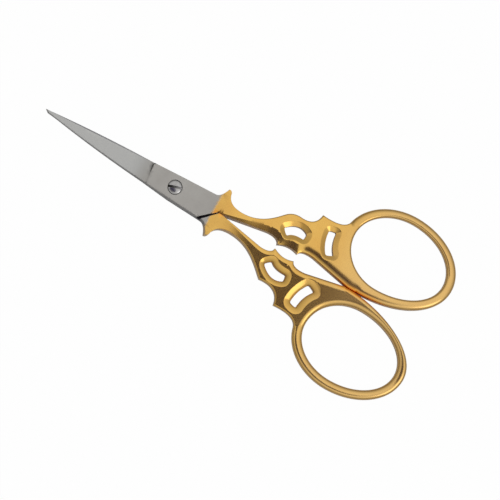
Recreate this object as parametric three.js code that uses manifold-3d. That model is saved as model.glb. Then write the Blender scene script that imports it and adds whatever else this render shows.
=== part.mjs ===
// Small embroidery scissors, closed: two crossed halves that turn on one slotted screw.
// Each half is a ground steel blade that runs into a pierced, gold-plated handle with a finger bow.
// The lower blade is the upper one turned over about the long axis. The lower handle mirrors the upper
// one, except that the lobe behind the neck is rounded off on the upper half and sharp on the lower one.
//
// Millimetres. +X runs from the tips to the finger bows, +Y to the upper half's bow and +Z up.
// The halves are drawn about the pivot. The outer group puts the origin under the middle of the object.

import * as THREE from 'three';
import { mergeVertices } from 'three/addons/utils/BufferGeometryUtils.js';
import Module from 'manifold-3d';

// Thickness and clearances
const THICKNESS = 3.2; // of a handle, and of the two blades together at the pivot
const RIDE_GAP = 0.06; // between the two blades' inner flats
const CLOSING_GAP = 0.2; // between the two handles where they meet
const SHOULDER_GAP = 0.3; // between one half's shoulder and the other half's blade

// Blades: lengths run along the object, reaches run sideways from its centre line
const BLADE_LENGTH = 30; // pivot to tip
const BLADE_REACH = 2.6; // at the pivot
const BLADE_SWELL = 0.38; // bow of the back, out from a straight line
const TIP_WIDTH = 0.5;
const TIP_THICKNESS = 0.55;
const TIP_OFFSET = 0.67; // both tips lean this far toward the upper handle
const GRIND_START = 5.7; // pivot to the line where the ground face begins
const GRIND_STEP = 0.25; // depth of that line at the cutting edge
const EDGE_ANGLE = 75; // degrees between the inner flat and the cutting bevel

// Handle stations: each run starts where the one before it ends, the first at the pivot
const SPUR_BASE_RUN = 7.8;
const SPUR_BASE_REACH = 2.95;
const SPUR_RUN = 2.4;
const SPUR_REACH = 5.2;
const SPUR_TIP_WIDTH = 0.8;
const NECK_RUN = 4;
const NECK_REACH = 2.39;
const NECK_EASE = 0.47; // how far the neck runs on before it rises, as a share of the lobe's run
const LOBE_RUN = 9.8;
const LOBE_REACH = 7.45;
const LOBE_EASE = 0.72; // where the rise to the lobe straightens, as a share of that run
const LOBE_EASE_RISE = 0.51; // and as a share of that rise
const SCALLOP_RUN = 5.1;
const SCALLOP_REACH = 10.6;
const SCALLOP_SAG = 0.47; // how far a scallop dips behind its cusp
const BOW_RUN = 5.5;

// The lobe's corner: how far it is cut back before it turns, and where the round one's corner would lie
const SHARP_LOBE_ROUNDING = 0.2;
const ROUND_LOBE_ROUNDING = 1.9;
const ROUND_LOBE_LEAD = 0.5; // ahead of the sharp one
const ROUND_LOBE_RISE = 0.6; // beyond the sharp one

// Plating line and the shoulders where the halves interlock
const PLATING_PAST_SPUR_BASE = 1.2;
const CROTCH_PAST_PLATING = 1;
const SHOULDER_RUN = 2.6; // from the crotch back to the shoulder's outer end
const SHOULDER_REACH = 2.7;

// Inner edge of the handle, along the gap between the handles
const GAP_START_BEFORE_NECK = 1.8;
const FRONT_CREST_BEFORE_LOBE = 3.1;
const FRONT_CREST_REACH = 1.7;
const FRONT_CREST_ROUND = 0.2;
const FRONT_CUSP_BEFORE_LOBE = 0.25;
const FRONT_CUSP_REACH = 0.47;
const CUSP_ARCH_REACH = 1.2;
const REAR_CUSP_BEFORE_SCALLOP = 0.8;
const REAR_CUSP_REACH = 0.85;
const REAR_CREST_PAST_SCALLOP = 2.5;
const REAR_CREST_REACH = 1.78;
const REAR_CREST_ROUND = 0.35;
const CLOSING_START_PAST_BOW = 5.05;
const CLOSING_LENGTH = 2.8;

// Finger bow
const OPENING_LENGTH = 20.95;
const OPENING_WIDTH = 15.68;
const OUTER_SKEW = 0.7; // each side's widest point lies this much nearer the pivot than the middle
const INNER_SKEW = 1.63;
const BOW_ROOT_BAND = 2.1;
const BOW_INNER_BAND = 2.56;
const BOW_OUTER_BAND = 1.71;
const BOW_END_BAND = 2.05;
const BOW_JOIN_ANGLE = 11.7; // degrees up the bow where the last scallop meets it

// Walls round the two piercings
const FIRST_PIERCING_LEAD = 0.65; // how far it starts ahead of the lobe
const FIRST_PIERCING_REAR_WALL = 1;
const FIRST_PIERCING_INNER_WALL = 2.6;
const FIRST_PIERCING_OUTER_WALL = 2.06;
const SECOND_PIERCING_LEAD = 2.65; // how far it starts behind the scallop's cusp
const SECOND_PIERCING_REAR_WALL = 1.85;
const SECOND_PIERCING_INNER_WALL = 2.8;
const SECOND_PIERCING_OUTER_WALL = 1.95;
const PIERCING_END_BULGE = 0.11; // of a slot's end, as a share of that end
const PIERCING_SIDE_CUT = 0.07; // what the corners take off each end of a slot's long side, as a share
const PIERCING_END_CUT = 0.16; // and off each end of its short side

// Rounded edges of the handles: how far in from an edge they reach, and how deep they go
const OUTER_ROUND = 0.3; // along the shank's outer edge
const OUTER_DROP = 0.3;
const GAP_ROUND = 1.45; // along the gap between the handles
const GAP_DROP = 0.8;
const BOW_ROUND = 1.3; // round the finger bow
const BOW_DROP = 0.8;
const OPENING_ROUND = 0.6; // round its opening
const OPENING_DROP = 0.6;
const PIERCING_ROUND = 1.3;
const PIERCING_DROP = 0.8;
const UNDER_ROUND = 0.8; // along every edge of the underside
const UNDER_DROP = 0.7;
const PLATED_SHARE = 0.15; // of the reach and depth, at the plating line
const ROUND_START_PAST_PLATING = 0.6; // where they start to grow
const ROUND_GROWTH_LENGTH = 14.4;

// Crown of the handles: the upper face falls away from the gap between them
const CROWN_ANGLE = 3.4; // degrees
const CROWN_WIDTH = 9;
const CROWN_START_PAST_PLATING = 1.5;
const CROWN_GROWTH_LENGTH = 8.5;

// Pivot screw
const SHANK_DIAMETER = 2.2;
const SHANK_CLEARANCE = 0.05; // radial, in both halves
const HEAD_DIAMETER = 2.9;
const HEAD_RIM = 0.12;
const HEAD_HEIGHT = 0.55;
const HEAD_SEAT_DEPTH = 0.2;
const HEAD_CLEARANCE = 0.1;
const SLOT_WIDTH = 0.45;
const SLOT_DEPTH = 0.32;
const SLOT_ANGLE = 18; // degrees from the long axis

// Finishes
const STEEL_COLOUR = 0xa5a49e;
const STEEL_ROUGHNESS = 0.3;
const GOLD_COLOUR = 0xd9a849;
const GOLD_ROUGHNESS = 0.22;

// How finely the curves are divided
const CURVE_STEPS = 7;
const QUARTER_STEPS = 14; // per quarter of the bow's loops
const CIRCLE_STEPS = 48;
const DOME_STEPS = 6;
const PIERCING_STEPS = 5; // per side of a slot
const TOP_ROUND_STEPS = 3;
const UNDER_ROUND_STEPS = 2;
const STATION_SPACING = 0.1; // the least, between two sections of a handle
const SLOPE_STEP = 0.1; // over which an edge's slope is taken
const MAX_STRETCH = 2.5; // of a rounded edge across a section, where the edge runs aslant
const MAX_ROUND_SHARE = 0.48; // of a section that one rounded edge may take
const OVERRUN = 0.02; // by which a cut's rounded edge starts outside the face that it cuts

const MERGE_DISTANCE = 1e-5;
const BLOCK_SIZE = 2 * (BLADE_LENGTH + OPENING_LENGTH); // larger than anything that it cuts

// Each piercing is a curved slot: the start, bend and end of its two long sides, which follow each
// other round it, as shares of its own length and width
const FIRST_PIERCING_SIDES = [
  [[0.25, 0], [0.45, 0.5], [0.97, 0.42]],
  [[1, 1], [0.52, 1.64], [0, 0.52]],
];
const SECOND_PIERCING_SIDES = [
  [[1, 0.14], [0.52, 0.48], [0.48, 1]],
  [[0, 0.93], [0.01, 0.41], [0.52, 0]],
];

// Stations along the handle, measured from the pivot
const spurBaseX = SPUR_BASE_RUN;
const spurX = spurBaseX + SPUR_RUN;
const neckX = spurX + NECK_RUN;
const lobeX = neckX + LOBE_RUN;
const scallopX = lobeX + SCALLOP_RUN;
const bowX = scallopX + BOW_RUN;
const openingX = bowX + BOW_ROOT_BAND;
const openingEndX = openingX + OPENING_LENGTH;
const bowEndX = openingEndX + BOW_END_BAND;
const platingX = spurBaseX + PLATING_PAST_SPUR_BASE;
const crotchX = platingX + CROTCH_PAST_PLATING;
const closingEndX = bowX + CLOSING_START_PAST_BOW + CLOSING_LENGTH;
const roundStartX = platingX + ROUND_START_PAST_PLATING;
const crownStartX = platingX + CROWN_START_PAST_PLATING;

const closingY = CLOSING_GAP / 2;
const bowAxisY = closingY + BOW_INNER_BAND + OPENING_WIDTH / 2;
const outerWidestX = openingX + OPENING_LENGTH / 2 - OUTER_SKEW;
const innerWidestX = openingX + OPENING_LENGTH / 2 - INNER_SKEW;

const flatZ = (THICKNESS + RIDE_GAP) / 2; // an upper blade's inner flat
const headSeatZ = THICKNESS - HEAD_SEAT_DEPTH;
const shankRadius = SHANK_DIAMETER / 2;
const headRadius = HEAD_DIAMETER / 2;

const { clamp, degToRad, lerp, smoothstep } = THREE.MathUtils;
const UP = new THREE.Vector3(0, 0, 1);

const wasm = await Module();
wasm.setup();

// A closed three.js geometry as a solid that can be joined and cut
function solidOf(geometry) {
  geometry.deleteAttribute('normal');
  geometry.deleteAttribute('uv');
  const merged = mergeVertices(geometry, MERGE_DISTANCE);
  return new wasm.Manifold(new wasm.Mesh({
    numProp: 3,
    vertProperties: new Float32Array(merged.attributes.position.array),
    triVerts: new Uint32Array(merged.index.array),
  }));
}

function geometryOf(solid) {
  const mesh = solid.getMesh();
  const geometry = new THREE.BufferGeometry();
  geometry.setAttribute('position', new THREE.BufferAttribute(mesh.vertProperties, 3));
  geometry.setIndex(new THREE.BufferAttribute(mesh.triVerts, 1));
  geometry.computeVertexNormals();
  return geometry;
}

// A plan outline raised from one height to another
function raise(shape, bottom, top) {
  const options = { depth: top - bottom, bevelEnabled: false, curveSegments: CURVE_STEPS };
  return solidOf(new THREE.ExtrudeGeometry(shape, options).translate(0, 0, bottom));
}

function polygon(points) {
  return new THREE.Shape(points.map(([x, y]) => new THREE.Vector2(x, y)));
}

// A block that stands on a plane through 'corner', on the side of 'up'. It runs forward from the
// corner and to both sides of it, far enough to cut away everything there.
function block(corner, forward, up) {
  const normal = up.clone().normalize();
  const along = forward.clone().projectOnPlane(normal).normalize();
  const across = new THREE.Vector3().crossVectors(normal, along);
  const box = new THREE.BoxGeometry(BLOCK_SIZE, BLOCK_SIZE, BLOCK_SIZE);
  box.translate(BLOCK_SIZE / 2, 0, BLOCK_SIZE / 2);
  box.applyMatrix4(new THREE.Matrix4().makeBasis(along, across, normal).setPosition(corner));
  return solidOf(box);
}

// A point on an upper half's shoulder line, which slopes from the crotch out to +Y: 'distance' along
// it and 'shift' off it toward the tips. The lower half's shoulder is its mirror image on -Y.
function shoulderPoint(distance, shift) {
  const along = new THREE.Vector2(-SHOULDER_RUN, SHOULDER_REACH).normalize();
  return [crotchX + along.x * distance - along.y * shift, along.y * distance + along.x * shift];
}

// Where an upper blade ends, just ahead of the lower half's shoulder, at a given reach on that side
function bladeEnd(reach) {
  const along = new THREE.Vector2(-SHOULDER_RUN, SHOULDER_REACH).normalize();
  const start = shoulderPoint(0, SHOULDER_GAP / 2);
  const [x, y] = shoulderPoint((reach - start[1]) / along.y, SHOULDER_GAP / 2);
  return [x, -y];
}

// The curve from the blade's edge up to the spur, which blade and handle share
function drawSpurBase(path) {
  const tipStartX = spurX - SPUR_TIP_WIDTH / 2;
  path.lineTo(spurBaseX, SPUR_BASE_REACH);
  path.quadraticCurveTo(tipStartX - SPUR_TIP_WIDTH, SPUR_BASE_REACH, tipStartX, SPUR_REACH);
}

// An upper blade in plan: straight cutting edge on +Y, bowed back on -Y, the tip leaning by 'lean'
function bladeShape(lean) {
  const tipY = TIP_WIDTH / 2;
  const backMiddleY = (lean - BLADE_REACH - tipY) / 2 - 2 * BLADE_SWELL;
  const shape = new THREE.Shape();
  shape.moveTo(-BLADE_LENGTH, lean + tipY);
  shape.lineTo(0, BLADE_REACH);
  drawSpurBase(shape);
  shape.lineTo(spurX, SPUR_REACH);
  shape.lineTo(spurX, closingY);
  shape.lineTo(...bladeEnd(-closingY));
  shape.lineTo(...bladeEnd(SPUR_BASE_REACH));
  shape.lineTo(0, -BLADE_REACH);
  shape.quadraticCurveTo(-BLADE_LENGTH / 2, backMiddleY, -BLADE_LENGTH, lean - tipY);
  return shape;
}

// An upper handle's outer edge in plan, from beside the blade's end to the bow, and on into the bow
function outerEdge(roundLobe) {
  const startX = bladeEnd(BLADE_REACH)[0];
  const [joinX, joinY] = bowJoin();
  const path = new THREE.Path();
  path.moveTo(startX, lerp(BLADE_REACH, SPUR_BASE_REACH, startX / spurBaseX));
  drawSpurBase(path);
  drawOuterEdge(path, roundLobe);
  path.quadraticCurveTo(joinX, SCALLOP_REACH - SCALLOP_SAG, joinX, joinY);
  path.lineTo(closingEndX, joinY);
  return path.getPoints(CURVE_STEPS);
}

// From the spur's tip down to the neck, up to the lobe and along the scallop to its cusp
function drawOuterEdge(shape, roundLobe) {
  const tipEndX = spurX + SPUR_TIP_WIDTH / 2;
  const tipEndY = SPUR_REACH - SPUR_TIP_WIDTH / 2;
  shape.quadraticCurveTo(spurX, SPUR_REACH + SPUR_TIP_WIDTH / 4, tipEndX, tipEndY);
  shape.quadraticCurveTo(spurX + SPUR_TIP_WIDTH, NECK_REACH, neckX, NECK_REACH);
  const cornerX = roundLobe ? lobeX - ROUND_LOBE_LEAD : lobeX;
  const cornerY = roundLobe ? LOBE_REACH + ROUND_LOBE_RISE : LOBE_REACH;
  const rounding = roundLobe ? ROUND_LOBE_ROUNDING : SHARP_LOBE_ROUNDING;
  const corner = new THREE.Vector2(cornerX, cornerY);
  const ease = new THREE.Vector2(
    lerp(neckX, cornerX, LOBE_EASE),
    lerp(NECK_REACH, cornerY, LOBE_EASE_RISE),
  );
  const sag = new THREE.Vector2(scallopX - SCALLOP_SAG, cornerY - SCALLOP_SAG);
  const before = ease.clone().sub(corner).setLength(rounding).add(corner);
  const after = sag.clone().sub(corner).setLength(rounding).add(corner);
  shape.bezierCurveTo(lerp(neckX, cornerX, NECK_EASE), NECK_REACH, ease.x, ease.y, before.x, before.y);
  shape.quadraticCurveTo(corner.x, corner.y, after.x, after.y);
  shape.quadraticCurveTo(sag.x, sag.y, scallopX, SCALLOP_REACH);
}

// Where the last scallop meets the bow's outside
function bowJoin() {
  const angle = Math.PI - degToRad(BOW_JOIN_ANGLE);
  return [
    outerWidestX + (outerWidestX - bowX) * Math.cos(angle),
    bowAxisY + (OPENING_WIDTH / 2 + BOW_OUTER_BAND) * Math.sin(angle),
  ];
}

// The bow's outside: four quarter ellipses, of which the shank covers the one toward the gap
function bowLoop() {
  const outerY = OPENING_WIDTH / 2 + BOW_OUTER_BAND;
  const innerY = bowAxisY - closingY;
  return quarterEllipses([
    [outerWidestX, bowEndX - outerWidestX, outerY],
    [outerWidestX, outerWidestX - bowX, outerY],
    [closingEndX, closingEndX - bowX, innerY],
    [closingEndX, bowEndX - closingEndX, innerY],
  ]);
}

// An upper handle's inner edge: along the gap between the handles, past its two cusps, to the crotch
// and along the blade's end
function innerEdge() {
  const frontCuspX = lobeX - FRONT_CUSP_BEFORE_LOBE;
  const frontCrestX = lobeX - FRONT_CREST_BEFORE_LOBE;
  const frontRoundX = frontCuspX - FRONT_CREST_ROUND;
  const frontRoundY = FRONT_CREST_REACH + FRONT_CREST_ROUND;
  const rearCuspX = scallopX - REAR_CUSP_BEFORE_SCALLOP;
  const rearCrestX = scallopX + REAR_CREST_PAST_SCALLOP;
  const rearRoundX = rearCuspX + REAR_CREST_ROUND;
  const rearRoundY = REAR_CREST_REACH + REAR_CREST_ROUND;
  const archX = (frontCuspX + rearCuspX) / 2;
  const archY = 2 * CUSP_ARCH_REACH - (FRONT_CUSP_REACH + REAR_CUSP_REACH) / 2;
  const path = new THREE.Path();
  path.moveTo(closingEndX, closingY);
  path.lineTo(closingEndX - CLOSING_LENGTH, closingY);
  path.lineTo(rearCrestX, REAR_CREST_REACH);
  path.quadraticCurveTo(rearRoundX, rearRoundY, rearCuspX, REAR_CUSP_REACH);
  path.quadraticCurveTo(archX, archY, frontCuspX, FRONT_CUSP_REACH);
  path.quadraticCurveTo(frontRoundX, frontRoundY, frontCrestX, FRONT_CREST_REACH);
  path.lineTo(neckX - GAP_START_BEFORE_NECK, closingY);
  path.lineTo(...bladeEnd(-closingY));
  path.lineTo(...bladeEnd(BLADE_REACH));
  return path.getPoints(CURVE_STEPS).reverse();
}

// The finger bow's opening, whose inner side is widest nearer the pivot
function openingLoop() {
  const radiusY = OPENING_WIDTH / 2;
  return quarterEllipses([
    [outerWidestX, openingEndX - outerWidestX, radiusY],
    [outerWidestX, outerWidestX - openingX, radiusY],
    [innerWidestX, innerWidestX - openingX, radiusY],
    [innerWidestX, openingEndX - innerWidestX, radiusY],
  ]);
}

// A closed loop about the bow's axis, counter-clockwise from the bow's end
function quarterEllipses(quarters) {
  const right = Math.PI / 2;
  return quarters.flatMap(([centreX, radiusX, radiusY], i) => {
    const quarter = new THREE.EllipseCurve(centreX, bowAxisY, radiusX, radiusY, i * right, (i + 1) * right);
    return quarter.getPoints(QUARTER_STEPS).slice(0, -1);
  });
}

// A curved slot: two bent long sides, each followed by a bulging end, with the corners cut off
function slotLoop(longSides, x0, x1, y0, y1) {
  const place = ([u, v]) => new THREE.Vector2(lerp(x0, x1, u), lerp(y0, y1, v));
  const sides = longSides.map((side) => side.map(place));
  const points = [];
  sides.forEach(([start, bend, end], i) => {
    const next = sides[(i + 1) % sides.length][0];
    const outward = new THREE.Vector2(next.y - end.y, end.x - next.x).multiplyScalar(PIERCING_END_BULGE);
    const bulge = end.clone().lerp(next, 0.5).add(outward);
    addSlotSide(points, new THREE.QuadraticBezierCurve(start, bend, end), PIERCING_SIDE_CUT);
    addSlotSide(points, new THREE.QuadraticBezierCurve(end, bulge, next), PIERCING_END_CUT);
  });
  return points;
}

function addSlotSide(points, curve, cut) {
  for (let step = 0; step <= PIERCING_STEPS; step += 1) {
    points.push(curve.getPoint(lerp(cut, 1 - cut, step / PIERCING_STEPS)));
  }
}

function firstPiercing() {
  return slotLoop(
    FIRST_PIERCING_SIDES,
    lobeX - FIRST_PIERCING_LEAD,
    scallopX - FIRST_PIERCING_REAR_WALL,
    FRONT_CUSP_REACH + FIRST_PIERCING_INNER_WALL,
    LOBE_REACH - FIRST_PIERCING_OUTER_WALL,
  );
}

function secondPiercing() {
  return slotLoop(
    SECOND_PIERCING_SIDES,
    scallopX + SECOND_PIERCING_LEAD,
    openingX - SECOND_PIERCING_REAR_WALL,
    REAR_CUSP_REACH + SECOND_PIERCING_INNER_WALL,
    SCALLOP_REACH - SECOND_PIERCING_OUTER_WALL,
  );
}

// What a half leaves free for the other one between two heights, ahead of its own shoulder
function lapCut(bottom, top) {
  const far = BLOCK_SIZE / 2;
  const inner = shoulderPoint(-far, -SHOULDER_GAP / 2);
  const outer = shoulderPoint(far, -SHOULDER_GAP / 2);
  return raise(polygon([inner, outer, [-far, outer[1]], [-far, inner[1]]]), bottom, top);
}

// A solid through a row of rings with as many points each, counter-clockwise seen from the last one.
// 'flat' gives a point's place in the plane of its ring.
function loft(rings, flat) {
  const count = rings[0].length;
  const last = (rings.length - 1) * count;
  const index = [];
  for (let start = 0; start < last; start += count) {
    for (let i = 0; i < count; i += 1) {
      const a = start + i;
      const b = start + ((i + 1) % count);
      index.push(a, b, b + count, a, b + count, a + count);
    }
  }
  const cap = (ring) => THREE.ShapeUtils.triangulateShape(ring.map(flat), []);
  cap(rings[0]).forEach(([a, b, c]) => index.push(a, c, b));
  cap(rings[rings.length - 1]).forEach((face) => index.push(...face.map((i) => last + i)));
  const geometry = new THREE.BufferGeometry().setFromPoints(rings.flat());
  geometry.setIndex(index);
  return solidOf(geometry);
}

// A quarter ellipse from an edge in to the flat: the share of the reach, and the drop that is left
function rounding(steps) {
  return Array.from({ length: steps + 1 }, (_, step) => {
    const angle = (step / steps) * (Math.PI / 2);
    return { inward: 1 - Math.cos(angle), drop: 1 - Math.sin(angle) };
  });
}

// How far the crown lies below the full thickness
function crownDrop(x, y) {
  const grown = smoothstep(x, crownStartX, crownStartX + CROWN_GROWTH_LENGTH);
  return grown * Math.tan(degToRad(CROWN_ANGLE)) * clamp(y - closingY, 0, CROWN_WIDTH);
}

function reachAt(edge, x) {
  const passed = edge.filter((point) => point.x <= x).length;
  const next = clamp(passed, 1, edge.length - 1);
  const [a, b] = [edge[next - 1], edge[next]];
  return lerp(a.y, b.y, (x - a.x) / (b.x - a.x));
}

// How much wider a section crosses a rounded edge that runs aslant there
function stretchAt(edge, x) {
  const rise = reachAt(edge, x + SLOPE_STEP) - reachAt(edge, x - SLOPE_STEP);
  return Math.min(Math.hypot(1, rise / (2 * SLOPE_STEP)), MAX_STRETCH);
}

// A section across the shank, from the inner edge along the underside and back over the upper face
function section(inner, outer, x) {
  const innerY = reachAt(inner, x);
  const outerY = reachAt(outer, x);
  const room = (outerY - innerY) * MAX_ROUND_SHARE;
  const share = lerp(PLATED_SHARE, 1, smoothstep(x, roundStartX, roundStartX + ROUND_GROWTH_LENGTH));
  const ring = [];
  const addCorner = (steps, reach, drop, fromY, sign, faceZ) => {
    rounding(steps).forEach((step) => {
      const y = fromY + sign * step.inward * Math.min(share * reach, room);
      ring.push(new THREE.Vector3(x, y, faceZ(y, step.drop * share * drop)));
    });
  };
  const under = (y, drop) => drop;
  const upper = (y, drop) => THICKNESS - crownDrop(x, y) - drop;
  const [innerStretch, outerStretch] = [stretchAt(inner, x), stretchAt(outer, x)];
  addCorner(UNDER_ROUND_STEPS, UNDER_ROUND * outerStretch, UNDER_DROP, outerY, -1, under);
  ring.reverse();
  addCorner(TOP_ROUND_STEPS, OUTER_ROUND * outerStretch, OUTER_DROP, outerY, -1, upper);
  const outerSide = ring.splice(0);
  addCorner(TOP_ROUND_STEPS, GAP_ROUND * innerStretch, GAP_DROP, innerY, 1, upper);
  ring.reverse();
  addCorner(UNDER_ROUND_STEPS, UNDER_ROUND * innerStretch, UNDER_DROP, innerY, 1, under);
  return [...outerSide, ...ring];
}

// A handle without its bow and piercings, as sections along it
function shank(roundLobe) {
  const inner = innerEdge();
  const outer = outerEdge(roundLobe);
  const stations = [inner[0].x];
  [...inner, ...outer].map((point) => point.x).sort((a, b) => a - b).forEach((x) => {
    if (x - stations.at(-1) > STATION_SPACING) stations.push(x);
  });
  const rings = stations.map((x) => section(inner, outer, x));
  return loft(rings, (point) => new THREE.Vector2(point.y, point.z));
}

// A loop moved in by a distance, or out by a negative one
function moveIn(loop, distance) {
  return loop.map((point, i) => {
    const before = point.clone().sub(loop[(i + loop.length - 1) % loop.length]).normalize();
    const after = loop[(i + 1) % loop.length].clone().sub(point).normalize();
    const along = before.clone().add(after).normalize();
    const inward = new THREE.Vector2(-along.y, along.x).multiplyScalar(distance / along.dot(after));
    return inward.add(point);
  });
}

// The rings of a rounded wall along a loop, from the underside to the crowned upper face, which they
// overrun by a little. 'side' is 1 where the metal lies inside the loop and -1 where it lies outside.
function wallRings(loop, round, topDrop, side, overrun) {
  const ring = (reach, heightAt) => moveIn(loop, side * reach)
    .map(({ x, y }) => new THREE.Vector3(x, y, heightAt(x, y)));
  const under = rounding(UNDER_ROUND_STEPS).reverse().map(({ inward, drop }) => (
    ring(inward * UNDER_ROUND, () => drop * UNDER_DROP - inward * overrun)));
  const upper = rounding(TOP_ROUND_STEPS).map(({ inward, drop }) => (
    ring(inward * round, (x, y) => THICKNESS - crownDrop(x, y) - drop * topDrop + inward * overrun)));
  return [...under, ...upper];
}

function inPlan(point) {
  return new THREE.Vector2(point.x, point.y);
}

function bow() {
  return loft(wallRings(bowLoop(), BOW_ROUND, BOW_DROP, 1, 0), inPlan);
}

// What a hole with rounded edges takes out of a handle
function holeCut(loop, round, drop) {
  const rings = wallRings(loop, round, drop, -1, OVERRUN);
  const level = (ring, z) => ring.map((point) => new THREE.Vector3(point.x, point.y, z));
  return loft([level(rings[0], -THICKNESS), ...rings, level(rings.at(-1), 2 * THICKNESS)], inPlan);
}

// What is ground off an upper blade's outer face: a plane from the grind line to the tip's thickness
function grindCut(lean) {
  const tip = new THREE.Vector3(-BLADE_LENGTH, lean, flatZ + TIP_THICKNESS);
  const back = new THREE.Vector3(-GRIND_START, -BLADE_REACH, THICKNESS);
  const edge = new THREE.Vector3(-GRIND_START, BLADE_REACH, THICKNESS - GRIND_STEP);
  const along = tip.clone().sub(edge);
  const across = back.clone().sub(edge);
  const middle = edge.clone().add(back).multiplyScalar(0.5);
  return block(middle, along, new THREE.Vector3().crossVectors(along, across));
}

// What is ground off along an upper blade's cutting edge, from the grind line to the tip
function bevelCut(lean) {
  const tip = new THREE.Vector3(-BLADE_LENGTH, lean + TIP_WIDTH / 2, flatZ);
  const root = new THREE.Vector3(0, BLADE_REACH, flatZ);
  const start = root.clone().lerp(tip, GRIND_START / BLADE_LENGTH);
  const along = tip.clone().sub(root).normalize();
  const outward = new THREE.Vector3(along.y, -along.x, 0);
  const angle = degToRad(EDGE_ANGLE);
  const normal = outward.multiplyScalar(Math.sin(angle)).addScaledVector(UP, Math.cos(angle));
  return block(start, along, normal);
}

function post(radius, bottom, top) {
  const cylinder = new THREE.CylinderGeometry(radius, radius, top - bottom, CIRCLE_STEPS);
  return solidOf(cylinder.rotateX(Math.PI / 2).translate(0, 0, (bottom + top) / 2));
}

// Everything to one side of the plating line: -1 is the tips' side, 1 the bows' side
function platingSide(side) {
  return block(new THREE.Vector3(platingX, 0, -BLOCK_SIZE / 2), new THREE.Vector3(side, 0, 0), UP);
}

function blade(lean) {
  const body = raise(bladeShape(lean), 0, THICKNESS).intersect(platingSide(-1));
  const lapped = body.subtract(lapCut(-THICKNESS, flatZ));
  const bored = lapped.subtract(post(shankRadius + SHANK_CLEARANCE, -THICKNESS, 2 * THICKNESS));
  return bored.subtract(grindCut(lean)).subtract(bevelCut(lean));
}

function handle(roundLobe, lap) {
  return shank(roundLobe).add(bow())
    .subtract(holeCut(openingLoop(), OPENING_ROUND, OPENING_DROP))
    .subtract(holeCut(firstPiercing(), PIERCING_ROUND, PIERCING_DROP))
    .subtract(holeCut(secondPiercing(), PIERCING_ROUND, PIERCING_DROP))
    .intersect(platingSide(1))
    .subtract(lap);
}

function screw() {
  const profile = [
    new THREE.Vector2(0, 0),
    new THREE.Vector2(shankRadius, 0),
    new THREE.Vector2(shankRadius, headSeatZ),
    new THREE.Vector2(headRadius, headSeatZ),
  ];
  for (let step = 0; step < DOME_STEPS; step += 1) {
    const angle = (step / DOME_STEPS) * (Math.PI / 2);
    const rise = (HEAD_HEIGHT - HEAD_RIM) * Math.sin(angle);
    profile.push(new THREE.Vector2(headRadius * Math.cos(angle), headSeatZ + HEAD_RIM + rise));
  }
  profile.push(new THREE.Vector2(0, headSeatZ + HEAD_HEIGHT));
  const turned = solidOf(new THREE.LatheGeometry(profile, CIRCLE_STEPS).rotateX(Math.PI / 2));
  const slot = new THREE.BoxGeometry(HEAD_DIAMETER * 2, SLOT_WIDTH, 2 * SLOT_DEPTH);
  slot.rotateZ(degToRad(SLOT_ANGLE)).translate(0, 0, headSeatZ + HEAD_HEIGHT);
  return turned.subtract(solidOf(slot));
}

// The lower blade: the upper one turned over about the long axis, at the height of the inner flats
function turnOver(geometry) {
  const position = geometry.attributes.position;
  for (let i = 0; i < position.count; i += 1) {
    position.setXYZ(i, position.getX(i), -position.getY(i), THICKNESS - position.getZ(i));
  }
  geometry.computeVertexNormals();
  return geometry;
}

// The lower handle's side
function mirrored(geometry) {
  const { index, attributes: { position } } = geometry;
  for (let i = 0; i < position.count; i += 1) {
    position.setY(i, -position.getY(i));
  }
  for (let i = 0; i < index.count; i += 3) {
    const first = index.getX(i);
    index.setX(i, index.getX(i + 1));
    index.setX(i + 1, first);
  }
  geometry.computeVertexNormals();
  return geometry;
}

function metal(color, roughness) {
  return new THREE.MeshStandardMaterial({ color, roughness, metalness: 1 });
}

function steelPiece(name, geometry) {
  const mesh = new THREE.Mesh(geometry, metal(STEEL_COLOUR, STEEL_ROUGHNESS));
  mesh.name = name;
  return mesh;
}

function goldPiece(name, geometry) {
  const mesh = new THREE.Mesh(geometry, metal(GOLD_COLOUR, GOLD_ROUGHNESS));
  mesh.name = name;
  return mesh;
}

const headSeat = post(headRadius + HEAD_CLEARANCE, headSeatZ, 2 * THICKNESS);
const upperLap = lapCut(-THICKNESS, flatZ);
const lowerLap = lapCut(THICKNESS - flatZ, 2 * THICKNESS);

const scissors = new THREE.Group();
scissors.add(
  steelPiece('upper_blade', geometryOf(blade(TIP_OFFSET).subtract(headSeat))),
  goldPiece('upper_handle', geometryOf(handle(true, upperLap))),
  steelPiece('lower_blade', turnOver(geometryOf(blade(-TIP_OFFSET)))),
  goldPiece('lower_handle', mirrored(geometryOf(handle(false, lowerLap)))),
  steelPiece('pivot_screw', geometryOf(screw())),
);
scissors.position.x = (BLADE_LENGTH - bowEndX) / 2;

const part = new THREE.Group();
part.add(scissors);

export default part;
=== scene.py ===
import math

import bpy
import numpy as np
from mathutils import Matrix, Vector
from mathutils.geometry import delaunay_2d_cdt


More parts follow.
